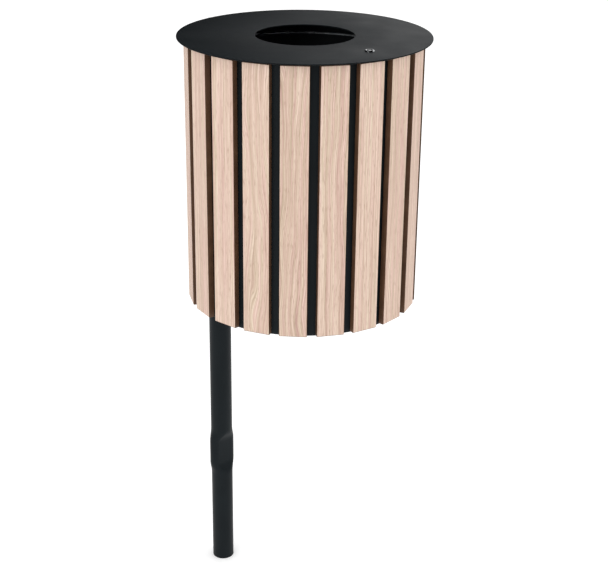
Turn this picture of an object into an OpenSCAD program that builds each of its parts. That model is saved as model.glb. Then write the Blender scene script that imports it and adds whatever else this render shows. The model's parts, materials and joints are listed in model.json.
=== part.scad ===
// Slatted litter bin on a single cast-in post.
// Origin: centre of the post's bottom end. +Z is up. The bin hangs in front of the post, towards -Y.

/* [Post] */
// Outside diameter of the post tube
post_d = 50; // [48:1:60]
// Wall thickness of the post tube
post_wall = 3; // [2:0.5:4]
// Height of the post tube, from its buried end to its top
post_h = 1296; // [1200:1:1400]
// Height of the middle of the pressed flat that stops the post turning in concrete
crimp_z = 294; // [250:1:400]
// Length of the fully pressed part
crimp_flat = 54; // [30:1:80]
// Length of each run-out between the round tube and the pressed part
crimp_run = 32; // [20:1:50]
// Thickness of the tube across the pressed flats
crimp_t = 27; // [22:1:36]

/* [Body] */
// Distance from the post's axis to the bin's axis
stand_off = 286; // [280:1:320]
// Height of the lower ends of the slats above the post's buried end
body_z = 797; // [700:1:850]
// Outside diameter of the casing
casing_d = 445; // [440:1:450]
// Sheet thickness of the casing
casing_t = 2; // [1.5:0.5:3]
// How far the casing hangs below the slats
casing_drop = 2.5; // [0:0.5:10]

/* [Slats] */
// Number of slats round the casing, an even number so that a gap faces the post
slat_count = 20; // [16:2:20]
// Width of a slat
slat_w = 54; // [48:1:54]
// Thickness of a slat
slat_t = 12; // [10:1:14]
// Length of a slat
slat_len = 534; // [480:1:560]
// Chamfer along the edges of a slat's face
slat_chamfer = 0.6; // [0.4:0.1:2]

/* [Lid] */
// Diameter of the lid
lid_d = 500; // [490:1:510]
// Thickness of the lid plate
lid_t = 2.5; // [2:0.5:3]
// Diameter of the opening in the lid
mouth_d = 195; // [150:1:220]
// Air gap between the slats' upper ends and the lid
lid_gap = 3.5; // [3:0.1:5]
// Distance from the bin's axis to the lock's axis
lock_r = 184; // [180:1:190]

/* [Bucket] */
// Outside diameter of the bucket's wall
bucket_d = 400; // [380:1:404]
// Height of the bucket
bucket_h = 501.5; // [450:0.5:502]
// Sheet thickness of the bucket
bucket_t = 1.5; // [1:0.5:2]
// Diameter of the wire rolled into the bucket's rim
rim_wire_d = 6; // [5:1:6]
// Diameter of the handle wire
handle_wire_d = 6; // [5:1:7]

/* [Hidden] */
$fn = 96;
eps = 0.01;
post_r = post_d / 2;
casing_r = casing_d / 2;
casing_in = casing_r - casing_t;
casing_z = body_z - casing_drop;
slat_top = body_z + slat_len;
slat_back = casing_r + 0.1;
slat_step = 360 / slat_count;
lid_z = slat_top + lid_gap;
lid_top = lid_z + lid_t;
lid_r = lid_d / 2;

// Crimp: the pressed section keeps the tube's circumference, so its flats lengthen as it gets thinner
crimp_flats = PI * (post_d - crimp_t) / 2;
crimp_low = crimp_z - crimp_flat / 2;
crimp_high = crimp_z + crimp_flat / 2;
low_end = crimp_low - crimp_run;
high_start = crimp_high + crimp_run;
crimp_bury = 0.5;
crimp_sides = 48;
crimp_steps = 6;

// Casing fittings
floor_t = 3;
floor_z = casing_z + 1.5;
drain_r = 6;
drain_ring = 150;
drain_count = 6;
ring_in = 208.5;
ring_t = 3;
ring_z = slat_top - ring_t;
buffer_r = 4;
buffer_ring = 214.5;
buffer_play = 0.02;
buffer_count = 4;

// Slat screws, driven from inside the casing
screw_r = 2.5;
screw_hole_r = 2.75;
screw_depth = 9;
screw_head_r = 4.75;
screw_head_t = 3;
screw_seat_gap = 0.05;
screw_rows = [body_z + 60, slat_top - 60];

// Brackets between the post and the casing, in the gap at the back
bracket_z = [890, 1240];
web_t = 8;
web_h = 80;
foot_w = 15;
foot_h = 140;
foot_t = 5;
foot_y = casing_r - stand_off;
bolt_r = 4;
bolt_hole_r = 4.25;
bolt_pitch = 116;
bolt_head_r = 7;
bolt_head_t = 4;
backing_w = 52;
backing_t = 3;
washer_t = 1.6;
nut_t = 6.5;
nut_flats = 13;
bolt_tip = 1;

// Lid hinge at the top of the post
hinge_y = -6;
hinge_z = 1320;
pin_r = 4;
knuckle_r = 7;
knuckle_half = 14.5;
knuckle_clear = 0.05;
ear_r = 8;
ear_in = 15;
ear_t = 5;
ear_clear = 0.02;
head_t = 4;
head_w = 13;
pin_head_r = 6.5;
pin_head_t = 3;
pin_tail = 6;
groove_r = 3.2;
groove_w = 1.2;
clip_r = 6.5;
strap_t = 2.5;
strap_half = 28;
neck_half = 14;
pad_back = -72;
pad_front = -150;
stud_x = 20;
stud_y = [-86, -136];
stud_r = 2.5;
stud_nut_flats = 8;
stud_nut_t = 4;

// Lock
lock_y = -stand_off - lock_r;
barrel_r = 8;
bezel_r = 9.5;
bezel_t = 2.5;
plug_r = 5.5;
plug_clear = 0.05;
recess_t = 3;
key_r = 4.2;
barrel_foot = 1327.2;
cam_t = 3;
cam_w = 16;
cam_reach = 28;
cam_top = barrel_foot - 0.2;
lock_nut_flats = 22;
lock_nut_t = 4;

// Bucket fittings
bucket_r = bucket_d / 2;
bucket_z = floor_z + floor_t;
bucket_top = bucket_z + bucket_h;
base_rise = 5;
handle_r = handle_wire_d / 2;
handle_x = 183;
handle_z = bucket_top - 34;
handle_leg_y = 42;
handle_drop = 42;
handle_bend = 9;
handle_pin_y = 58;
clip_half = 6;
clip_y = 54;
clip_clear = 0.08;

function two_digits(i) = str(i < 10 ? "0" : "", i);
function slat_name(i) = str("slat_", two_digits(i));

// ---------------------------------------------------------------- helpers

module at_bin() {
    translate([0, -stand_off, 0]) children();
}

// Children stand on the +X axis and are repeated round the bin's axis, starting beside the back gap
module round_bin(count, first) {
    at_bin() for (i = [0:count - 1]) rotate([0, 0, first + i * 360 / count]) children();
}

module disc(r, h) {
    cylinder(r = r, h = h);
}

module tube(r_out, r_in, h) {
    difference() {
        disc(r_out, h);
        translate([0, 0, -1]) disc(r_in, h + 2);
    }
}

// A hexagonal nut or bolt head, standing on z = 0
module hexagon(flats, h) {
    cylinder(r = flats / sqrt(3), h = h, $fn = 6);
}

module hex_nut(flats, h, r_in) {
    difference() {
        hexagon(flats, h);
        translate([0, 0, -1]) disc(r_in, h + 2);
    }
}

// Lays a shape that stands along +Z so that it points along +Y
module along_y() {
    rotate([-90, 0, 0]) children();
}

// Lays a shape that stands along +Z so that it points along +X
module along_x() {
    rotate([0, 90, 0]) children();
}

// A side profile drawn as [y, z], given a width along X and centred on X = 0
module side_plate(half) {
    rotate([90, 0, 90]) translate([0, 0, -half]) linear_extrude(2 * half) children();
}

// ---------------------------------------------------------------- post

// Outline of the pressed tube: two half circles of radius r, pulled apart by the length of its flats
function crimp_outline(r, flats) = [
    for (i = [0:crimp_sides - 1])
        let (a = (i + 0.5) * 360 / crimp_sides)
        [r * cos(a) + sign(cos(a)) * flats / 2, r * sin(a)]
];

// Share of the full press at each level: 0 where the tube is round, 1 where it is flattest
function press_share(t) = t - 0.08 * sin(360 * t);

crimp_levels = concat(
    [[low_end - crimp_bury, 0]],
    [for (i = [0:crimp_steps]) [low_end + crimp_run * i / crimp_steps, press_share(i / crimp_steps)]],
    [for (i = [0:crimp_steps]) [crimp_high + crimp_run * i / crimp_steps, press_share(1 - i / crimp_steps)]],
    [[high_start + crimp_bury, 0]]
);

// One wall of the pressed length, as rings of points: r_round is its radius where the tube is round
function crimp_rings(r_round, r_pressed) = [
    for (level = crimp_levels)
        let (share = level[1])
        for (p = crimp_outline(r_round + (r_pressed - r_round) * share, crimp_flats * share))
        [p[0], p[1], level[0]]
];

function both_triangles(q) = [[q[0], q[1], q[2]], [q[0], q[2], q[3]]];

// The pressed length, with its ends buried in the wall of the round tube
module crimp() {
    n = crimp_sides;
    rings = len(crimp_levels);
    inner = n * rings;
    top = n * (rings - 1);
    outer_wall = crimp_rings(post_r - 0.25, crimp_t / 2);
    inner_wall = crimp_rings(post_r - post_wall + 0.3, crimp_t / 2 - post_wall);
    quads = [
        for (i = [0:n - 1])
            let (j = (i + 1) % n)
            for (q = concat(
                [for (k = [0:n:top - 1]) [k + i, k + n + i, k + n + j, k + j]],
                [for (k = [inner:n:inner + top - 1]) [k + i, k + j, k + n + j, k + n + i]],
                [[i, j, inner + j, inner + i]],
                [[top + i, inner + top + i, inner + top + j, top + j]]
            ))
            q
    ];
    polyhedron(concat(outer_wall, inner_wall), [for (q = quads) for (f = both_triangles(q)) f]);
}

module post() {
    color("#23272a") {
        tube(post_r, post_r - post_wall, low_end);
        translate([0, 0, high_start]) tube(post_r, post_r - post_wall, post_h - high_start);
        crimp();
    }
}

// ---------------------------------------------------------------- hinge

module hinge_ear() {
    difference() {
        side_plate(ear_t / 2) {
            translate([hinge_y, hinge_z]) circle(ear_r);
            polygon([
                [hinge_y - ear_r, hinge_z], [hinge_y + ear_r, hinge_z],
                [hinge_y + ear_r + 4, post_h + head_t - eps], [hinge_y - ear_r - 2, post_h + head_t - eps]
            ]);
        }
        translate([-ear_t, hinge_y, hinge_z]) along_x() disc(pin_r + ear_clear, 2 * ear_t);
    }
}

// Cap plate with two ears for the pin, and the lug that the lid's strap comes to rest on
module hinge_head() {
    lug_front = hinge_y + 9.6;
    lug_deep = 6;
    lug_high = 24.5;
    color("#23272a") {
        translate([0, 0, post_h]) disc(post_r, head_t);
        for (side = [-1, 1]) translate([side * (ear_in + ear_t / 2), 0, 0]) hinge_ear();
        translate([-head_w, lug_front, post_h + head_t - eps]) cube([2 * head_w, lug_deep, lug_high]);
    }
}

module hinge_pin() {
    start = -ear_in - ear_t;
    shank = 2 * (ear_in + ear_t) + pin_tail;
    groove_at = ear_in + ear_t + 0.8;
    color("silver") translate([0, hinge_y, hinge_z]) difference() {
        union() {
            translate([start, 0, 0]) along_x() disc(pin_r, shank);
            translate([start - pin_head_t, 0, 0]) along_x() disc(pin_head_r, pin_head_t);
        }
        translate([groove_at, 0, 0]) along_x() tube(pin_r + 1, groove_r, groove_w);
    }
}

module hinge_pin_clip() {
    mouth_w = 4.4;
    color("silver") translate([ear_in + ear_t + 0.9, hinge_y, hinge_z]) difference() {
        along_x() tube(clip_r, groove_r + 0.05, groove_w - 0.2);
        translate([-1, -mouth_w / 2, 0]) cube([4, mouth_w, clip_r + 1]);
    }
}

// ---------------------------------------------------------------- brackets

module bracket(z) {
    color("#23272a") difference() {
        union() {
            translate([-web_t / 2, foot_y + foot_t - eps, z - web_h / 2])
                cube([web_t, -foot_y - foot_t, web_h]);
            translate([-foot_w / 2, foot_y, z - foot_h / 2]) cube([foot_w, foot_t, foot_h]);
        }
        translate([0, 0, z - web_h]) disc(post_r, 2 * web_h);
        for (side = [-1, 1])
            translate([0, foot_y - 1, z + side * bolt_pitch / 2]) along_y() disc(bolt_hole_r, foot_t + 2);
    }
}

// Children are placed at each of the four bolts, pointing along +Y, with y = 0 on the casing's outside
module at_bracket_bolts() {
    for (z = bracket_z, side = [-1, 1])
        translate([0, foot_y, z + side * bolt_pitch / 2]) along_y() children();
}

module bracket_bolts() {
    stem = foot_t + casing_t + backing_t + washer_t + nut_t + bolt_tip;
    socket_flats = 5;
    color("silver") at_bracket_bolts() difference() {
        union() {
            translate([0, 0, foot_t - stem]) disc(bolt_r, stem);
            translate([0, 0, foot_t]) cylinder(r1 = bolt_head_r, r2 = bolt_head_r - 2.5, h = bolt_head_t);
        }
        translate([0, 0, foot_t + 1.5]) hexagon(socket_flats, bolt_head_t);
    }
}

module bracket_washers() {
    color("silver") at_bracket_bolts()
        translate([0, 0, -casing_t - backing_t - washer_t]) tube(8, bolt_hole_r, washer_t);
}

module bracket_nuts() {
    color("silver") at_bracket_bolts()
        translate([0, 0, -casing_t - backing_t - washer_t - nut_t]) hex_nut(nut_flats, nut_t, bolt_r);
}

// Curved plates that spread the bolts' load over the casing's inside; flat lands seat the washers
module backing_plates() {
    outer = casing_in;
    land = casing_r - casing_t - backing_t;
    color("#23272a") for (z = bracket_z) difference() {
        intersection() {
            at_bin() translate([0, 0, z - foot_h / 2]) cylinder(r = outer, h = foot_h, $fn = 720);
            translate([-backing_w / 2, land - stand_off, z - foot_h / 2]) cube([backing_w, 10, foot_h]);
        }
        for (side = [-1, 1])
            translate([0, foot_y - 20, z + side * bolt_pitch / 2]) along_y() disc(bolt_hole_r, 40);
    }
}

// ---------------------------------------------------------------- casing

module casing() {
    color("#1c2024") difference() {
        at_bin() translate([0, 0, casing_z]) tube(casing_r, casing_in, slat_top - casing_z);
        for (z = screw_rows) round_bin(slat_count, 90 + slat_step / 2)
            translate([casing_in - 5, 0, z]) along_x() disc(screw_hole_r, 10);
        for (z = bracket_z, side = [-1, 1])
            translate([0, foot_y - 10, z + side * bolt_pitch / 2]) along_y() disc(bolt_hole_r, 20);
    }
}

// Inward flange at the casing's top: it stiffens the casing, carries the lid and takes the lock's cam
module rim_ring() {
    color("#1c2024") at_bin() translate([0, 0, ring_z]) tube(casing_in, ring_in, ring_t);
}

module floor_plate() {
    color("#1c2024") difference() {
        at_bin() translate([0, 0, floor_z]) disc(casing_in, floor_t);
        at_bin() translate([0, 0, floor_z - 1]) disc(drain_r, floor_t + 2);
        round_bin(drain_count, 0) translate([drain_ring, 0, floor_z - 1]) disc(drain_r, floor_t + 2);
    }
}

// A slat's section, drawn as [radius, tangent]; only the outer corners are chamfered
module slat_section() {
    front = slat_back + slat_t;
    half = slat_w / 2;
    c = slat_chamfer;
    polygon([
        [slat_back, -half], [front - c, -half], [front, -half + c],
        [front, half - c], [front - c, half], [slat_back, half]
    ]);
}

module slat(i) {
    color("#d8bda8") at_bin() rotate([0, 0, 90 + (i - 0.5) * slat_step]) difference() {
        translate([0, 0, body_z]) linear_extrude(slat_len) slat_section();
        for (z = screw_rows) translate([slat_back - 1, 0, z]) along_x() disc(screw_r, screw_depth + 1);
    }
}

module slat_screws() {
    color("silver") for (z = screw_rows) round_bin(slat_count, 90 + slat_step / 2)
        translate([casing_in, 0, z]) {
            flat = casing_in - sqrt(casing_in * casing_in - screw_head_r * screw_head_r);
            seat = -flat - screw_seat_gap;
            reach = slat_back + screw_depth - casing_in;
            translate([seat - 1, 0, 0]) along_x() disc(screw_r, reach - seat + 1);
            translate([seat - screw_head_t, 0, 0]) along_x()
                cylinder(r1 = screw_head_r - 1.5, r2 = screw_head_r, h = screw_head_t);
        }
}

module lid_buffers() {
    color("#111111") round_bin(buffer_count, 45)
        translate([buffer_ring, 0, slat_top]) disc(buffer_r, lid_gap - buffer_play);
}

// ---------------------------------------------------------------- lid

module lid_plate() {
    color("#2b2f32") difference() {
        at_bin() translate([0, 0, lid_z]) disc(lid_r, lid_t);
        at_bin() translate([0, 0, lid_z - 1]) disc(mouth_d / 2, lid_t + 2);
        translate([0, lock_y, lid_z - 1]) disc(barrel_r + 0.1, lid_t + 2);
    }
}

// Strap under the lid that ends in the hinge's knuckle
module lid_strap() {
    neck_top = -33;
    color("#2b2f32") difference() {
        union() {
            translate([-strap_half, pad_front, lid_z - strap_t])
                cube([2 * strap_half, pad_back - pad_front, strap_t]);
            side_plate(neck_half) {
                translate([hinge_y, hinge_z]) circle(knuckle_r);
                polygon([
                    [pad_back - 4, lid_z - strap_t], [pad_back - 4, lid_z], [neck_top, lid_z],
                    [hinge_y + 1, hinge_z + knuckle_r - 0.1], [hinge_y - 5, hinge_z + 3],
                    [neck_top - 1, lid_z - strap_t]
                ]);
            }
        }
        translate([-knuckle_half - 5, hinge_y, hinge_z]) along_x()
            disc(pin_r + knuckle_clear, 2 * knuckle_half + 10);
        for (x = [-stud_x, stud_x], y = stud_y)
            translate([x, y, lid_z - strap_t - 1]) disc(stud_r + 0.2, strap_t + 2);
    }
}

// Studs welded to the lid's underside, so that nothing shows on its top
module strap_studs() {
    stud_len = strap_t + stud_nut_t + 1;
    color("silver") for (x = [-stud_x, stud_x], y = stud_y)
        translate([x, y, lid_z - stud_len]) disc(stud_r, stud_len);
}

module strap_nuts() {
    color("silver") for (x = [-stud_x, stud_x], y = stud_y)
        translate([x, y, lid_z - strap_t - stud_nut_t]) hex_nut(stud_nut_flats, stud_nut_t, stud_r);
}

// ---------------------------------------------------------------- lock

module lock_barrel() {
    ring_top = lid_top + bezel_t;
    color("gainsboro") translate([0, lock_y, 0]) difference() {
        union() {
            translate([0, 0, barrel_foot]) disc(barrel_r, lid_top - barrel_foot + eps);
            translate([0, 0, lid_top]) cylinder(r1 = bezel_r, r2 = bezel_r - 1.2, h = bezel_t);
        }
        translate([0, 0, barrel_foot - 1]) disc(plug_r + plug_clear, ring_top);
    }
}

module lock_nut() {
    color("silver") translate([0, lock_y, lid_z - lock_nut_t])
        hex_nut(lock_nut_flats, lock_nut_t, barrel_r);
}

// Turning core: a triangular key stub stands in a round recess; the neck below carries the cam
module lock_plug() {
    recess_floor = lid_top + bezel_t - recess_t;
    color("dimgray") translate([0, lock_y, 0]) {
        translate([0, 0, cam_top]) disc(plug_r, recess_floor - cam_top);
        translate([0, 0, recess_floor - eps]) cylinder(r = key_r, h = recess_t - 0.3, $fn = 3);
    }
}

module lock_cam() {
    color("silver") translate([0, lock_y, cam_top - cam_t]) difference() {
        union() {
            for (x = [0, cam_reach - cam_w / 2]) translate([x, 0, 0]) disc(cam_w / 2, cam_t);
            translate([0, -cam_w / 2, 0]) cube([cam_reach - cam_w / 2, cam_w, cam_t]);
        }
        translate([0, 0, -1]) disc(3, cam_t + 2);
    }
}

module cam_screw() {
    color("silver") translate([0, lock_y, cam_top - cam_t]) {
        disc(3, cam_t);
        translate([0, 0, -2.5]) hexagon(10, 2.5);
    }
}

// ---------------------------------------------------------------- bucket

module bucket_wall() {
    color("#1c2024") at_bin() translate([0, 0, bucket_z])
        tube(bucket_r, bucket_r - bucket_t, bucket_h - rim_wire_d / 2);
}

module bucket_base() {
    color("#1c2024") at_bin() translate([0, 0, bucket_z + base_rise]) disc(bucket_r - bucket_t, bucket_t);
}

module bucket_rim() {
    wire_r = rim_wire_d / 2;
    color("#a9adb0") at_bin() translate([0, 0, bucket_top - wire_r]) rotate_extrude()
        translate([bucket_r + wire_r, 0]) circle(wire_r, $fn = 32);
}

// Folded clips on the bucket's inner wall, each with a bore for one end of a handle
module handle_clips() {
    inner = bucket_r - bucket_t;
    clip_in = handle_x - clip_half;
    color("#a9adb0") at_bin() for (side = [-1, 1], end = [-1, 1]) difference() {
        intersection() {
            translate([side > 0 ? clip_in : -inner, end * clip_y - clip_half, handle_z - clip_half])
                cube([inner - clip_in, 2 * clip_half, 2 * clip_half]);
            translate([0, 0, handle_z - 20]) disc(inner, 40);
        }
        translate([side * handle_x, end * clip_y - 20, handle_z]) along_y() disc(handle_r + clip_clear, 40);
    }
}

// Half of a wire handle, from its middle to the end held in a clip; it hangs from the pivot
module half_handle() {
    low = handle_z - handle_drop;
    along_y() disc(handle_r, handle_leg_y - handle_bend);
    translate([0, handle_leg_y - handle_bend, handle_bend]) rotate([0, 90, 0]) rotate_extrude(angle = 90)
        translate([handle_bend, 0]) circle(handle_r, $fn = 32);
    translate([0, handle_leg_y, handle_bend]) disc(handle_r, handle_z - low - handle_bend);
    translate([0, handle_leg_y, handle_z - low]) sphere(handle_r);
    translate([0, handle_leg_y, handle_z - low]) along_y() disc(handle_r, handle_pin_y - handle_leg_y);
}

module handle(side) {
    color("#8f9396") translate([side * handle_x, -stand_off, handle_z - handle_drop]) {
        half_handle();
        mirror([0, 1, 0]) half_handle();
    }
}

// ---------------------------------------------------------------- nodes

post();
hinge_head();
hinge_pin();
hinge_pin_clip();
bracket(bracket_z[0]);  // lower_bracket
bracket(bracket_z[1]);  // upper_bracket
bracket_bolts();
bracket_washers();
bracket_nuts();
backing_plates();
casing();
rim_ring();
floor_plate();
slat_screws();
lid_buffers();
lid_plate();
lid_strap();
strap_studs();
strap_nuts();
lock_barrel();
lock_nut();
lock_plug();
lock_cam();
cam_screw();
bucket_wall();
bucket_base();
bucket_rim();
handle_clips();
handle(-1);  // handle_left
handle(1);  // handle_right
for (i = [1:slat_count])
    slat(i);
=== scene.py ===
"""Looks of the post-mounted litter bin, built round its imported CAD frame. Lengths are in metres."""
import json
import math

import bmesh
import bpy
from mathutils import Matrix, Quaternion, Vector


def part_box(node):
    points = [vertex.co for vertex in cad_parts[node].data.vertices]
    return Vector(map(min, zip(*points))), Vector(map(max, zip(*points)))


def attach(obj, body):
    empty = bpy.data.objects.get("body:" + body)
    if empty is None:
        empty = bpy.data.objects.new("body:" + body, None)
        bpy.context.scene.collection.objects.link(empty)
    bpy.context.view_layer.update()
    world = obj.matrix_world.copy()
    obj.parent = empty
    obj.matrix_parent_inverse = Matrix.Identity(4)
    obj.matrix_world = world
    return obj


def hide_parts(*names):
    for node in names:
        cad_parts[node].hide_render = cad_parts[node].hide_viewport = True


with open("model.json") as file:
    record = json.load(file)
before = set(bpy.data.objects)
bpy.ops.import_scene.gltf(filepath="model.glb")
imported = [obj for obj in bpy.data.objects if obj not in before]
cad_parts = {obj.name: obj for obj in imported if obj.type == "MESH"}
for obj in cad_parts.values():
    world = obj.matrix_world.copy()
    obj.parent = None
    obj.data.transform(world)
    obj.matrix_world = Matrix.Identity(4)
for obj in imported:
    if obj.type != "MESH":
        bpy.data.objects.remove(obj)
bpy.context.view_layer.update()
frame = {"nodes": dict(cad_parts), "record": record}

MM = 0.001

# ---------------------------------------------------------------- places, from the frame

POST_LOW, POST_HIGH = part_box("post")
LID_LOW, LID_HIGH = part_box("lid_plate")
CASING_LOW, CASING_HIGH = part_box("casing")
SLAT_LOW, SLAT_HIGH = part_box("slat_01")
BIN_Y = (LID_LOW.y + LID_HIGH.y) / 2
BIN_AXIS = Vector((0.0, BIN_Y, 0))
LID_RADIUS = (LID_HIGH.x - LID_LOW.x) / 2
CASING_RADIUS = (CASING_HIGH.x - CASING_LOW.x) / 2
NODE_NAMES = [name for name in frame["nodes"] if name != "slat_screws"]
SLAT_NAMES = sorted(name for name in NODE_NAMES if name.startswith("slat_"))
SLAT_STEP = 2 * math.pi / len(SLAT_NAMES)

# ---------------------------------------------------------------- sizes that the frame doesn't give

SLAT_WIDTH = 54 * MM
SLAT_THICKNESS = 12 * MM
SLAT_BACK = CASING_RADIUS + 0.1 * MM
SLAT_EDGE = 0.5 * MM
SLAT_CHAMFER = 1.3 * MM
MOUTH_RADIUS = 97.5 * MM
POST_RADIUS = 25 * MM
POST_WALL = 3 * MM
CRIMP_LOW = 267 * MM
CRIMP_HIGH = 321 * MM
CRIMP_RUN = 32 * MM
CRIMP_THICKNESS = 27 * MM
LID_EDGE = 0.8 * MM
CASING_SHEET = 2 * MM
CASING_EDGE = 0.5 * MM
BUCKET_SHEET = 1.5 * MM
SWAGE_DEPTH = 1.2 * MM
SWAGE_HALF = 9 * MM
BARREL_RADIUS = 8 * MM
PLUG_BORE = 5.55 * MM
WEB_HALF = 4 * MM
FOOT_PLATE = 5 * MM
WELD_REACH = 38 * MM

# A board's face shows the oak print where it points outwards at least this squarely
OAK_FACE_COSINE = 0.985


def linear(red, green, blue):
    """A colour given as it looks on a screen, 0 to 255, as the linear values that a shader takes."""
    def one(c):
        c /= 255
        return c / 12.92 if c <= 0.04045 else ((c + 0.055) / 1.055) ** 2.4
    return (one(red), one(green), one(blue), 1.0)


# ---------------------------------------------------------------- mesh helpers

def link(name, data):
    """A new object round a mesh, light or camera, in the scene."""
    obj = bpy.data.objects.new(name, data)
    bpy.context.scene.collection.objects.link(obj)
    return obj


def mesh_object(name, verts, faces, sharp_degrees=35):
    """A smooth-shaded object from points and faces, sharp where they meet steeply."""
    mesh = bpy.data.meshes.new(name)
    mesh.from_pydata([tuple(v) for v in verts], [], faces)
    mesh.validate()
    clean(mesh)
    mesh.shade_smooth()
    mesh.set_sharp_from_angle(angle=math.radians(sharp_degrees))
    return link(name, mesh)


def clean(mesh):
    """Merges points that fall together and turns every face outwards."""
    bm = bmesh.new()
    bm.from_mesh(mesh)
    bmesh.ops.remove_doubles(bm, verts=bm.verts, dist=1e-6)
    bmesh.ops.dissolve_degenerate(bm, edges=bm.edges, dist=1e-7)
    bmesh.ops.recalc_face_normals(bm, faces=bm.faces)
    bm.to_mesh(mesh)
    bm.free()


def rounded(outline, radius, steps=4):
    """A closed outline of (radius, z) points with every corner turned into an arc."""
    points = []
    count = len(outline)
    for i, corner in enumerate(outline):
        here = Vector(corner)
        back = Vector(outline[i - 1]) - here
        ahead = Vector(outline[(i + 1) % count]) - here
        half_angle = back.angle(ahead) / 2
        cut = min(radius / math.tan(half_angle), back.length * 0.45, ahead.length * 0.45)
        back.normalize()
        ahead.normalize()
        for k in range(steps + 1):
            # A quadratic curve from one edge to the other, with the corner as its middle handle
            t = k / steps
            points.append(tuple(here + back * cut * (1 - t) ** 2 + ahead * cut * t ** 2))
    return points


def grid_faces(rows, columns):
    """Faces of a surface that closes on itself both ways: along its rows and along its columns."""
    faces = []
    for i in range(rows):
        for j in range(columns):
            ahead_i, ahead_j = (i + 1) % rows, (j + 1) % columns
            faces.append((i * columns + j, ahead_i * columns + j,
                          ahead_i * columns + ahead_j, i * columns + ahead_j))
    return faces


def lathe(name, outline, centre, segments=192):
    """A closed outline of (radius, z) points turned round a vertical axis at centre."""
    verts = []
    for i in range(segments):
        turn = 2 * math.pi * i / segments
        for r, z in outline:
            verts.append((centre[0] + r * math.cos(turn), centre[1] + r * math.sin(turn), z))
    return mesh_object(name, verts, grid_faces(segments, len(outline)))


def ringed(name, rings, sharp_degrees=35):
    """A closed skin through rings of points; the last ring joins the first."""
    verts = [p for ring in rings for p in ring]
    return mesh_object(name, verts, grid_faces(len(rings), len(rings[0])), sharp_degrees)


def dress(obj, body, material):
    """Puts a new piece on its body, with its material."""
    obj.data.materials.clear()
    obj.data.materials.append(material)
    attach(obj, body)
    return obj


# ---------------------------------------------------------------- shader helpers

def add(tree, kind, settings=None, inputs=None):
    """A new shader node with its settings, and its inputs set or linked."""
    node = tree.nodes.new(kind)
    for key, value in (settings or {}).items():
        setattr(node, key, value)
    for key, value in (inputs or {}).items():
        plug(tree, node.inputs[key], value)
    return node


def plug(tree, socket, value):
    """Links a socket's output to an input, or sets a plain value on it."""
    if isinstance(value, bpy.types.NodeSocket):
        tree.links.new(value, socket)
    else:
        socket.default_value = value


def calc(tree, operation, first, second=0.0):
    inputs = {0: first, 1: second}
    return add(tree, "ShaderNodeMath", {"operation": operation}, inputs).outputs[0]


def point(tree, x, y, z):
    return add(tree, "ShaderNodeCombineXYZ", None, {0: x, 1: y, 2: z}).outputs[0]


def weighted(tree, *terms):
    """The sum of (value, weight) terms."""
    products = [calc(tree, "MULTIPLY", value, weight) for value, weight in terms]
    total = products[0]
    for product in products[1:]:
        total = calc(tree, "ADD", total, product)
    return total


def stretched(tree, across, along, across_rate, along_rate, shift):
    """A place to look noise up at, with its own rate of change, per metre, each way."""
    first = calc(tree, "MULTIPLY", across, across_rate)
    second = calc(tree, "MULTIPLY", along, along_rate)
    return point(tree, first, second, shift)


def object_xyz(tree):
    coords = add(tree, "ShaderNodeTexCoord").outputs["Object"]
    parts = add(tree, "ShaderNodeSeparateXYZ", None, {0: coords})
    return coords, parts.outputs[0], parts.outputs[1], parts.outputs[2]


def noise(tree, where, scale=1.0, detail=2.0, roughness=0.5, distortion=0.0):
    inputs = {
        "Vector": where,
        "Scale": scale,
        "Detail": detail,
        "Roughness": roughness,
        "Distortion": distortion,
    }
    return add(tree, "ShaderNodeTexNoise", None, inputs).outputs["Fac"]


def remap(tree, value, low, high, to_low, to_high):
    inputs = {0: value, 1: low, 2: high, 3: to_low, 4: to_high}
    return add(tree, "ShaderNodeMapRange", {"clamp": True}, inputs).outputs[0]


def ramp(tree, factor, stops):
    node = add(tree, "ShaderNodeValToRGB", None, {0: factor})
    elements = node.color_ramp.elements
    while len(elements) < len(stops):
        elements.new(0.5)
    for element, (place, colour) in zip(elements, stops):
        element.position = place
        element.color = colour
    return node.outputs[0]


def mix(tree, factor, first, second):
    inputs = {0: factor, 6: first, 7: second}
    return add(tree, "ShaderNodeMix", {"data_type": "RGBA"}, inputs).outputs[2]


def bump(tree, height, distance, strength=1.0):
    inputs = {"Height": height, "Distance": distance, "Strength": strength}
    return add(tree, "ShaderNodeBump", None, inputs).outputs[0]


def new_material(name, metallic=0.0, specular=0.5, ior=1.5):
    material = bpy.data.materials.new(name)
    material.use_nodes = True
    shader = material.node_tree.nodes["Principled BSDF"]
    shader.inputs["Metallic"].default_value = metallic
    shader.inputs["Specular IOR Level"].default_value = specular
    shader.inputs["IOR"].default_value = ior
    return material, material.node_tree, shader


def finish_shader(tree, shader, colour, roughness, normal=None):
    plug(tree, shader.inputs["Base Color"], colour)
    plug(tree, shader.inputs["Roughness"], roughness)
    if normal is not None:
        plug(tree, shader.inputs["Normal"], normal)


# ---------------------------------------------------------------- materials

def slat_coordinates(tree):
    """Across a slat and along it, with three numbers that differ from slat to slat."""
    _, x, y, z = object_xyz(tree)
    angle = calc(tree, "ARCTAN2", x, calc(tree, "SUBTRACT", y, BIN_Y))
    turns = calc(tree, "DIVIDE", angle, SLAT_STEP)
    index = calc(tree, "FLOOR", turns)
    share = calc(tree, "SUBTRACT", calc(tree, "FRACT", turns), 0.5)
    across = calc(tree, "MULTIPLY", share, SLAT_STEP * (SLAT_BACK + SLAT_THICKNESS))
    seed = calc(tree, "ADD", index, 41.7)
    random = add(tree, "ShaderNodeTexWhiteNoise", {"noise_dimensions": "1D"}, {"W": seed})
    parts = add(tree, "ShaderNodeSeparateColor", None, {0: random.outputs["Color"]})
    return across, z, parts.outputs[0], parts.outputs[1], parts.outputs[2]


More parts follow.
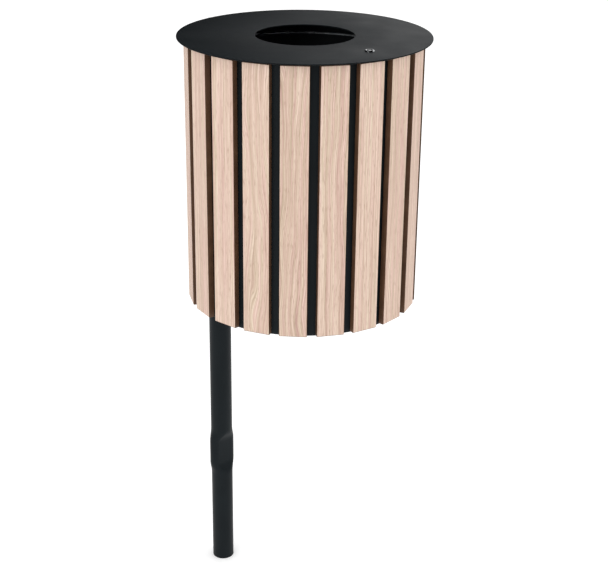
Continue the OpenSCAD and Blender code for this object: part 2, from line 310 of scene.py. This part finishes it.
def oak_grain(tree, across, along, amount):
    """Places across the board, bent to and fro so that the grain wavers by amount as it runs."""
    waver_at = stretched(tree, across, along, 14.0, 3.0, 0.0)
    waver = calc(tree, "SUBTRACT", noise(tree, waver_at, detail=2.0), 0.5)
    reach = calc(tree, "MULTIPLY_ADD", calc(tree, "POWER", amount, 2.0), 0.06)
    reach.node.inputs[2].default_value = 0.006
    return calc(tree, "ADD", across, calc(tree, "MULTIPLY", waver, reach))


def oak_decor():
    """Pale, slightly pink oak print: colour bands, wavering grain lines, fibres and short pores."""
    material, tree, shader = new_material("oak_decor", specular=0.25)
    across, along, r1, r2, r3 = slat_coordinates(tree)
    u = calc(tree, "ADD", across, calc(tree, "MULTIPLY", r1, 7.0))
    v = calc(tree, "ADD", along, calc(tree, "MULTIPLY", r2, 9.0))
    grain = oak_grain(tree, u, v, r3)
    bands_at = stretched(tree, grain, v, 110.0, 0.9, r3)
    bands = noise(tree, bands_at, detail=2.0, roughness=0.6)
    lines_at = stretched(tree, grain, v, 620.0, 2.4, r1)
    lines = noise(tree, lines_at, detail=3.0, roughness=0.65)
    fibres_at = stretched(tree, grain, v, 1250.0, 16.0, r2)
    fibres = noise(tree, fibres_at, detail=2.0, roughness=0.6)
    pores_at = stretched(tree, grain, v, 620.0, 55.0, r3)
    pores = remap(tree, noise(tree, pores_at, detail=1.0), 0.58, 0.72, 0.0, 1.0)
    tone = weighted(tree, (bands, 0.22), (lines, 0.48), (fibres, 0.30))
    tone = calc(tree, "ADD", tone, remap(tree, r2, 0.0, 1.0, -0.02, 0.02))
    colour = ramp(tree, tone, [
        (0.40, linear(146, 121, 108)),
        (0.46, linear(178, 153, 139)),
        (0.52, linear(200, 176, 161)),
        (0.59, linear(228, 211, 196)),
    ])
    tint_at = stretched(tree, grain, v, 260.0, 1.6, 3.0)
    tint = remap(tree, noise(tree, tint_at, detail=1.0), 0.35, 0.65, 0.0, 1.0)
    hue = mix(tree, tint, linear(206, 167, 156), linear(198, 180, 152))
    tinted = mix(tree, 0.46, colour, hue)
    pored = mix(tree, calc(tree, "MULTIPLY", pores, 0.45), tinted, linear(150, 120, 103))
    relief = weighted(tree, (lines, 0.5), (pores, -0.8))
    rough = remap(tree, fibres, 0.3, 0.7, 0.5, 0.6)
    finish_shader(tree, shader, pored, rough, bump(tree, relief, 0.05 * MM))
    return material


def laminate_core():
    """Dark brown core of the compact board, cut across its thin paper layers."""
    material, tree, shader = new_material("laminate_core", specular=0.3)
    coords, x, y, z = object_xyz(tree)
    _, _, r1, r2, _ = slat_coordinates(tree)
    off = calc(tree, "SUBTRACT", y, BIN_Y)
    square = calc(tree, "ADD", calc(tree, "MULTIPLY", x, x), calc(tree, "MULTIPLY", off, off))
    radius = calc(tree, "SQRT", square)
    layers_at = stretched(tree, radius, z, 3000.0, 3.0, r1)
    layers = noise(tree, layers_at, detail=2.0)
    saw_at = stretched(tree, radius, z, 60.0, 900.0, r2)
    saw = noise(tree, saw_at, detail=1.0)
    blotch = noise(tree, coords, scale=35.0, detail=3.0)
    tone = weighted(tree, (layers, 0.6), (blotch, 0.4))
    colour = ramp(tree, tone, [
        (0.30, linear(70, 48, 33)),
        (0.52, linear(92, 65, 46)),
        (0.72, linear(114, 84, 61)),
    ])
    height = weighted(tree, (saw, 0.4), (layers, 0.6))
    rough = remap(tree, saw, 0.3, 0.7, 0.5, 0.62)
    finish_shader(tree, shader, colour, rough, bump(tree, height, 0.03 * MM))
    return material


def powder_coat(name, dark, light, roughness, grain=1500.0, specular=0.5):
    """Fine-textured powder coat: a small orange peel under a finer grain, with faint cloudiness."""
    material, tree, shader = new_material(name, specular=specular)
    coords = object_xyz(tree)[0]
    peel = noise(tree, coords, scale=grain * 0.22, detail=2.0)
    fine = noise(tree, coords, scale=grain, detail=2.0, roughness=0.6)
    cloud = noise(tree, coords, scale=14.0, detail=3.0)
    scuff_place = noise(tree, coords, scale=120.0, detail=4.0, roughness=0.7)
    scuff = remap(tree, scuff_place, 0.62, 0.78, 0.0, 0.35)
    tone = weighted(tree, (cloud, 0.6), (fine, 0.4))
    colour = ramp(tree, tone, [(0.35, dark), (0.68, light)])
    worn = mix(tree, scuff, colour, light)
    height = weighted(tree, (peel, 0.7), (fine, 0.3))
    rough = remap(tree, cloud, 0.3, 0.7, roughness - 0.04, roughness + 0.04)
    finish_shader(tree, shader, worn, rough, bump(tree, height, 0.04 * MM, 0.6))
    return material


def galvanised():
    """Hot-dip zinc: grey crystals a centimetre across, each with its own shade and polish."""
    material, tree, shader = new_material("galvanised", metallic=0.5)
    coords = object_xyz(tree)[0]
    wander = noise(tree, coords, scale=60.0, detail=3.0)
    push = stretched(tree, wander, wander, 0.012, -0.009, 0.0)
    bend = add(tree, "ShaderNodeVectorMath", {"operation": "ADD"}, {0: coords, 1: push})
    bent = bend.outputs[0]
    cells = add(tree, "ShaderNodeTexVoronoi", None, {"Vector": bent, "Scale": 85.0})
    shade = add(tree, "ShaderNodeSeparateColor", None, {0: cells.outputs["Color"]})
    dull = noise(tree, coords, scale=9.0, detail=4.0)
    tone = weighted(tree, (shade.outputs[0], 0.45), (dull, 0.55))
    colour = ramp(tree, tone, [
        (0.15, linear(128, 133, 137)),
        (0.50, linear(158, 163, 166)),
        (0.85, linear(190, 194, 196)),
    ])
    rough = remap(tree, shade.outputs[1], 0.0, 1.0, 0.34, 0.5)
    facets = bump(tree, cells.outputs["Distance"], 0.15 * MM, 0.4)
    finish_shader(tree, shader, colour, rough, facets)
    return material


def zinc_plate():
    """Bright zinc plate on fasteners, with fine tool lines and a faint yellow-blue cast."""
    material, tree, shader = new_material("zinc_plate", metallic=0.6)
    coords, x, y, z = object_xyz(tree)
    cast = noise(tree, coords, scale=160.0, detail=2.0)
    lines_at = stretched(tree, x, y, 900.0, 900.0, calc(tree, "MULTIPLY", z, 5000.0))
    lines = noise(tree, lines_at, detail=2.0)
    colour = ramp(tree, cast, [
        (0.30, linear(176, 180, 188)),
        (0.55, linear(200, 200, 198)),
        (0.80, linear(212, 206, 190)),
    ])
    rough = remap(tree, lines, 0.3, 0.7, 0.24, 0.38)
    finish_shader(tree, shader, colour, rough, bump(tree, lines, 0.02 * MM))
    return material


def chrome():
    """Polished lock: near mirror, with hairline key scratches."""
    material, tree, shader = new_material("chrome", metallic=1.0)
    coords, x, y, z = object_xyz(tree)
    hair_at = stretched(tree, x, y, 2600.0, 260.0, z)
    hair = noise(tree, hair_at, detail=3.0, distortion=0.8)
    cloud = noise(tree, coords, scale=220.0, detail=2.0)
    colour = ramp(tree, cloud, [(0.35, linear(214, 217, 220)), (0.7, linear(232, 233, 234))])
    rough = remap(tree, hair, 0.4, 0.7, 0.1, 0.2)
    finish_shader(tree, shader, colour, rough, bump(tree, hair, 0.004 * MM))
    return material


def rubber():
    """Matt black moulded rubber with a fine bloom."""
    material, tree, shader = new_material("rubber", specular=0.3)
    coords = object_xyz(tree)[0]
    grain = noise(tree, coords, scale=2200.0, detail=3.0)
    bloom = noise(tree, coords, scale=180.0, detail=3.0)
    colour = ramp(tree, bloom, [(0.35, linear(22, 22, 23)), (0.75, linear(44, 44, 45))])
    rough = remap(tree, bloom, 0.3, 0.7, 0.75, 0.9)
    finish_shader(tree, shader, colour, rough, bump(tree, grain, 0.03 * MM))
    return material


OAK = oak_decor()
CORE = laminate_core()
POWDER = powder_coat(
    "powder_black", linear(17, 22, 25), linear(23, 29, 32), 0.42, specular=0.09)
LID_POWDER = powder_coat(
    "powder_black_lid", linear(25, 33, 38), linear(30, 38, 43), 0.5, grain=1100.0, specular=0.3)
# A darker copy of the lid's coat for the lid's rim faces: painted shade, not a different coat
SHADED_EDGE_POWDER = powder_coat(
    "powder_black_edge_painted_shade", linear(11, 12, 13), linear(17, 18, 19), 0.6, grain=1100.0, specular=0.05)
BUCKET_POWDER = powder_coat(
    "powder_black_bucket", linear(20, 23, 25), linear(27, 30, 32), 0.45, specular=0.15)
GALVANISED = galvanised()
ZINC = zinc_plate()
CHROME = chrome()
RUBBER = rubber()
SLOT_MATERIALS = {
    "powder_black": POWDER,
    "oak_board": OAK,
    "galvanised": GALVANISED,
    "zinc_fastener": ZINC,
    "chrome": CHROME,
    "rubber": RUBBER,
}

# ---------------------------------------------------------------- pieces


def carry_over_cad():
    """Gives every CAD node the material of its slot."""
    for part in frame["record"]["subparts"]:
        obj = frame["nodes"][part["node"]]
        obj.data.materials.clear()
        obj.data.materials.append(SLOT_MATERIALS[part["material_slot"]])


def soften(names, width, segments=2):
    """Rounds the sharp edges of CAD nodes that stay in sight, by a modifier."""
    for name in names:
        obj = frame["nodes"][name]
        modifier = obj.modifiers.new("soft_edges", "BEVEL")
        modifier.width = width
        modifier.segments = segments
        modifier.limit_method = "ANGLE"
        modifier.angle_limit = math.radians(38)
        modifier.harden_normals = False


def slat_block(radial, tangent):
    """A board's plain block, as a bmesh, with its back against the casing."""
    bm = bmesh.new()
    for depth in (0, SLAT_THICKNESS):
        for side in (-0.5, 0.5):
            for z in (SLAT_LOW.z, SLAT_HIGH.z):
                outwards = radial * (SLAT_BACK + depth)
                place = BIN_AXIS + outwards + tangent * (side * SLAT_WIDTH)
                bm.verts.new((place.x, place.y, z))
    bmesh.ops.convex_hull(bm, input=bm.verts)
    bmesh.ops.dissolve_limit(bm, angle_limit=math.radians(1), verts=bm.verts, edges=bm.edges)
    return bm


def is_outer_end(edge, radial):
    """True for the level edges at the top and bottom of a board's outer face."""
    outer = SLAT_BACK + SLAT_THICKNESS
    on_face = all(abs((vert.co - BIN_AXIS).dot(radial) - outer) < 1e-6 for vert in edge.verts)
    return on_face and abs(edge.verts[0].co.z - edge.verts[1].co.z) < 1e-6


def make_slat(name, index):
    """A board with eased edges: the oak print on its face, the brown core on every cut edge."""
    centre = math.pi / 2 + (index + 0.5) * SLAT_STEP
    radial = Vector((math.cos(centre), math.sin(centre), 0))
    tangent = Vector((-math.sin(centre), math.cos(centre), 0))
    bm = slat_block(radial, tangent)
    ends = [edge for edge in bm.edges if is_outer_end(edge, radial)]
    bmesh.ops.bevel(bm, geom=ends, offset=SLAT_CHAMFER, segments=1, affect="EDGES")
    every = list(bm.edges)
    bmesh.ops.bevel(bm, geom=every, offset=SLAT_EDGE, segments=3, profile=0.5, affect="EDGES")
    mesh = bpy.data.meshes.new(name)
    bmesh.ops.recalc_face_normals(bm, faces=bm.faces)
    bm.to_mesh(mesh)
    bm.free()
    obj = link(name, mesh)
    mesh.materials.append(OAK)
    mesh.materials.append(CORE)
    for face in mesh.polygons:
        face.use_smooth = True
        face.material_index = 0 if face.normal.dot(radial) > OAK_FACE_COSINE else 1
    modifier = obj.modifiers.new("face_weighted", "WEIGHTED_NORMAL")
    modifier.keep_sharp = True
    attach(obj, "stand")
    return obj


def make_slats():
    for index, node in enumerate(SLAT_NAMES):
        board = make_slat(node.replace("slat", "oak_slat"), index)
        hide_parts(node)


def press_share(t):
    """How far the tube is pressed at share t of the run-out, with a slight ease at both ends."""
    return t - 0.08 * math.sin(2 * math.pi * t)


def post_ring(z, share, depth, sides=96):
    """One ring of the post at height z, pressed by share and set depth inside its skin."""
    radius = POST_RADIUS + (CRIMP_THICKNESS / 2 - POST_RADIUS) * share - depth
    flats = math.pi * (POST_RADIUS - CRIMP_THICKNESS / 2) * share
    ring = []
    for i in range(sides):
        angle = 2 * math.pi * (i + 0.5) / sides
        pull = math.copysign(flats / 2, math.cos(angle))
        ring.append((radius * math.cos(angle) + pull, radius * math.sin(angle), z))
    return ring


def post_levels(steps=14):
    """Heights and press shares along the post, from its foot to its top."""
    levels = [(POST_LOW.z + 3 * MM, 0.0), (POST_LOW.z + 0.12, 0.0)]
    for i in range(steps + 1):
        levels.append((CRIMP_LOW - CRIMP_RUN + CRIMP_RUN * i / steps, press_share(i / steps)))
    levels.append(((CRIMP_LOW + CRIMP_HIGH) / 2, 1.0))
    for i in range(steps + 1):
        levels.append((CRIMP_HIGH + CRIMP_RUN * i / steps, press_share(1 - i / steps)))
    levels += [(0.6, 0.0), (0.95, 0.0), (POST_HIGH.z - 1 * MM, 0.0)]
    return levels


def make_post():
    """The open tube, with the pressed flat drawn out smoothly from the round."""
    eased = 0.6 * MM
    bore_eased = 0.4 * MM
    foot = POST_LOW.z
    rings = []
    for k in range(4):
        turn = math.pi / 2 * k / 3
        z = foot + eased * (1 - math.sin(turn))
        rings.append(post_ring(z, 0.0, eased * (1 - math.cos(turn))))
    rings.reverse()
    rings += [post_ring(z, share, 0.0) for z, share in post_levels()]
    rings.append(post_ring(POST_HIGH.z, 0.0, 0.0))
    rings.append(post_ring(POST_HIGH.z, 0.0, POST_WALL))
    rings += [post_ring(z, share, POST_WALL) for z, share in reversed(post_levels(6))]
    rings.append(post_ring(foot + bore_eased, 0.0, POST_WALL))
    rings.append(post_ring(foot, 0.0, POST_WALL - bore_eased))
    post = dress(ringed("post_tube", rings), "stand", POWDER)
    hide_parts("post")


def make_lid():
    """The lid plate with laser-cut edges eased under the coat, its rim faces painted darker as shade.
    """
    outline = rounded([
        (MOUTH_RADIUS, LID_LOW.z), (LID_RADIUS, LID_LOW.z),
        (LID_RADIUS, LID_HIGH.z), (MOUTH_RADIUS, LID_HIGH.z),
    ], LID_EDGE)
    lid = dress(lathe("lid_disc", outline, BIN_AXIS, 256), "lid", LID_POWDER)
    # The rim's upright faces take the darker copy of the coat: painted shade along the lid's edge
    lid.data.materials.append(SHADED_EDGE_POWDER)
    for face in lid.data.polygons:
        face.material_index = 1 if abs(face.normal.z) < 0.5 else 0
    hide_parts("lid_plate")


def make_casing():
    """The casing's rolled sheet, with its edges eased. Fastener heads cover its holes."""
    inner = CASING_RADIUS - CASING_SHEET
    outline = rounded([
        (inner, CASING_LOW.z), (CASING_RADIUS, CASING_LOW.z),
        (CASING_RADIUS, CASING_HIGH.z), (inner, CASING_HIGH.z),
    ], CASING_EDGE)
    casing = dress(lathe("casing_sheet", outline, BIN_AXIS), "stand", POWDER)
    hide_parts("casing")


def make_bucket_wall():
    """The bucket's drawn wall, with two swages."""
    low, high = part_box("bucket_wall")
    outer = (high.x - low.x) / 2
    swages = [low.z + 0.14, high.z - 0.12]

    def wall_radius(z):
        dents = sum(math.exp(-((z - s) / SWAGE_HALF) ** 2 * 3) for s in swages)
        return outer - SWAGE_DEPTH * dents

    levels = [low.z + (high.z - low.z) * i / 90 for i in range(91)]
    outline = [(wall_radius(z), z) for z in levels]
    outline += [(wall_radius(z) - BUCKET_SHEET, z) for z in reversed(levels)]
    shell = lathe("bucket_shell", outline, BIN_AXIS, 160)
    wall = dress(shell, "bucket", BUCKET_POWDER)
    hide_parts("bucket_wall")
    return outer


def make_bucket_rim():
    """The rim, rolled over its wire."""
    low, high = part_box("bucket_rim")
    bead = (high.z - low.z) / 2
    radius = (high.x - low.x) / 2 - bead
    middle = (high.z + low.z) / 2
    circle = []
    for i in range(24):
        turn = 2 * math.pi * i / 24
        circle.append((radius + bead * math.cos(turn), middle + bead * math.sin(turn)))
    rim = dress(lathe("rolled_rim", circle, BIN_AXIS, 160), "bucket", GALVANISED)
    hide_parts("bucket_rim")


def make_bucket_base(outer):
    """The pressed base, with its upturned lip inside the wall's outer radius."""
    base_low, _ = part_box("bucket_base")
    low = base_low.z
    dish = outer - BUCKET_SHEET
    hub = 0.1 * MM
    lip = 4 * MM
    lift = 0.4 * MM
    outline = rounded([
        (hub, low), (dish * 0.6, low), (dish - 12 * MM, low + lift),
        (dish, low + lift), (dish, low + lift + lip), (dish - 1.2 * MM, low + lip),
        (dish - 1.6 * MM, low + BUCKET_SHEET + lift), (dish * 0.6, low + BUCKET_SHEET),
        (hub, low + BUCKET_SHEET),
    ], 0.5 * MM, 3)
    floor = lathe("bucket_floor", outline, BIN_AXIS, 128)
    base = dress(floor, "bucket", BUCKET_POWDER)
    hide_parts("bucket_base")


def make_bucket():
    """The bucket's wall, rim and base."""
    outer = make_bucket_wall()
    make_bucket_rim()
    make_bucket_base(outer)


def make_lock():
    """The lock's face: a polished collar with a soft shoulder round the sunk plug."""
    low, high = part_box("lock_barrel")
    centre = ((low.x + high.x) / 2, (low.y + high.y) / 2)
    bezel = (high.x - low.x) / 2
    lid_top = LID_HIGH.z
    outline = rounded([
        (PLUG_BORE, low.z), (BARREL_RADIUS, low.z), (BARREL_RADIUS, lid_top - 0.5 * MM),
        (bezel, lid_top - 0.2 * MM), (bezel, lid_top + 1.1 * MM), (bezel - 1.6 * MM, high.z),
        (PLUG_BORE + 0.9 * MM, high.z), (PLUG_BORE, high.z - 1.2 * MM),
    ], 0.6 * MM, 5)
    collar = dress(lathe("lock_collar", outline, centre, 96), "lid", CHROME)
    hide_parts("lock_barrel")


def make_weld(name, start, end, radius=2.0 * MM, ripple=2.2 * MM):
    """An upright weld bead with its ripples, tapered at both ends."""
    start, end = Vector(start), Vector(end)
    length = (end - start).length
    count = int(length / ripple) * 4
    sides = 12
    verts = []
    for i in range(count + 1):
        t = i / count
        taper = min(1.0, 6 * t + 0.05, 6 * (1 - t) + 0.05)
        r = radius * taper * (0.9 + 0.1 * math.cos(2 * math.pi * i / 4))
        place = start.lerp(end, t)
        for j in range(sides):
            a = 2 * math.pi * j / sides
            verts.append((place.x + r * math.cos(a), place.y + r * math.sin(a), place.z))
    faces = []
    for i in range(count):
        for j in range(sides):
            here, above, ahead = i * sides, (i + 1) * sides, (j + 1) % sides
            faces.append((here + j, here + ahead, above + ahead, above + j))
    faces.append(tuple(range(sides)))
    faces.append(tuple(count * sides + j for j in range(sides)))
    dress(mesh_object(name, verts, faces, 60), "stand", POWDER)


def make_welds():
    """Fillets along both sides of each bracket's web, at the post and at its foot."""
    for name in ("lower_bracket", "upper_bracket"):
        low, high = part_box(name)
        middle = (low.z + high.z) / 2
        bottom, top = middle - WELD_REACH, middle + WELD_REACH
        foot_y = low.y + FOOT_PLATE + 0.3 * MM
        for side, word in ((-1, "left"), (1, "right")):
            x = side * (WEB_HALF + 0.3 * MM)
            post_y = -math.sqrt(POST_RADIUS ** 2 - x ** 2) - 0.2 * MM
            for place, y in (("post", post_y), ("foot", foot_y)):
                make_weld(f"{name}_{place}_weld_{word}", (x, y, bottom), (x, y, top))


carry_over_cad()
THICK_PLATES = ["hinge_head", "upper_bracket", "lower_bracket", "lid_strap"]
THIN_PIECES = ["lock_cam", "handle_clips", "backing_plates", "floor_plate", "rim_ring"]
FASTENERS = [
    "bracket_bolts", "bracket_nuts", "strap_nuts", "lock_nut", "cam_screw", "hinge_pin", "strap_studs",
]
soften(THICK_PLATES, 0.8 * MM, 3)
soften(THIN_PIECES, 0.4 * MM)
soften(FASTENERS, 0.3 * MM)
soften(["lid_buffers", "lock_plug"], 0.25 * MM)
make_slats()
make_post()
make_lid()
make_casing()
make_bucket()
make_lock()
make_welds()

# ---------------------------------------------------------------- stage, light and camera


def make_floor():
    """A plain pale floor, far larger than the view."""
    mesh = bpy.data.meshes.new("floor")
    half = 40.0
    z = POST_LOW.z
    corners = [(-half, -half, z), (half, -half, z), (half, half, z), (-half, half, z)]
    mesh.from_pydata(corners, [], [(0, 1, 2, 3)])
    floor = link("floor", mesh)
    material, tree, shader = new_material("pale_floor", specular=0.0)
    coords = object_xyz(tree)[0]
    speck = noise(tree, coords, scale=3.0, detail=2.0)
    colour = ramp(tree, speck, [(0.3, (0.95, 0.95, 0.95, 1)), (0.7, (0.97, 0.97, 0.97, 1))])
    finish_shader(tree, shader, colour, 0.9)
    # A faint glow of its own keeps the floor white up to its far edge
    shader.inputs["Emission Color"].default_value = (1.0, 1.0, 1.0, 1.0)
    shader.inputs["Emission Strength"].default_value = 0.12
    mesh.materials.append(material)


def make_world(strength):
    """Even white light from all round, kept out of reflections, which come from the softboxes."""
    world = bpy.data.worlds.new("studio")
    bpy.context.scene.world = world
    world.use_nodes = True
    background = world.node_tree.nodes["Background"]
    background.inputs[0].default_value = (1.0, 1.0, 1.0, 1.0)
    background.inputs[1].default_value = strength
    world.cycles_visibility.glossy = False


def make_softbox(name, bearing, distance, height, size, power, aim, lights_diffuse=True):
    """A square light at a bearing round the bin, in degrees clockwise from +Y as seen from above."""
    turn = math.radians(bearing)
    place = BIN_AXIS + Vector((math.sin(turn) * distance, math.cos(turn) * distance, height))
    data = bpy.data.lights.new(name, "AREA")
    data.shape = "SQUARE"
    data.size = size
    data.energy = power
    light = link(name, data)
    light.location = place
    light.rotation_euler = (Vector(aim) - place).to_track_quat("-Z", "Y").to_euler()
    light.visible_diffuse = lights_diffuse


def make_camera():
    """The photograph's view: from the left of the lock's side, looking down at the lid."""
    bearing = math.radians(40.883)
    distance = 2.6034
    above_lid = 0.5541
    heading = math.radians(40.973)
    down = math.radians(22.520)
    roll = math.radians(0.666)
    data = bpy.data.cameras.new("camera")
    data.sensor_width = 36.0
    data.lens = 79.65
    camera = link("camera", data)
    back_x, back_y = -math.sin(bearing) * distance, -math.cos(bearing) * distance
    camera.location = BIN_AXIS + Vector((back_x, back_y, LID_HIGH.z + above_lid))
    camera.rotation_mode = "QUATERNION"
    level = math.cos(down)
    gaze = Vector((math.sin(heading) * level, math.cos(heading) * level, -math.sin(down)))
    camera.rotation_quaternion = gaze.to_track_quat("-Z", "Y") @ Quaternion((0, 0, 1), roll)
    data.clip_start = 0.05
    data.clip_end = 100.0
    bpy.context.scene.camera = camera


make_floor()
make_world(1.1)
# lid_glow is only a reflection in the lid and other glossy surfaces; the other two also give light
make_softbox(
    "lid_glow", bearing=67.5, distance=3.2, height=2.6, size=3.2, power=24.0,
    aim=(0, BIN_Y, LID_HIGH.z), lights_diffuse=False)
make_softbox(
    "front_fill", bearing=255.0, distance=3.4, height=2.2, size=1.6, power=20.0, aim=(0, BIN_Y, 1.0))
make_softbox(
    "side_fill", bearing=135.0, distance=3.4, height=2.0, size=1.6, power=18.0, aim=(0, BIN_Y, 1.0))
make_camera()
bpy.context.scene.view_settings.view_transform = "Standard"
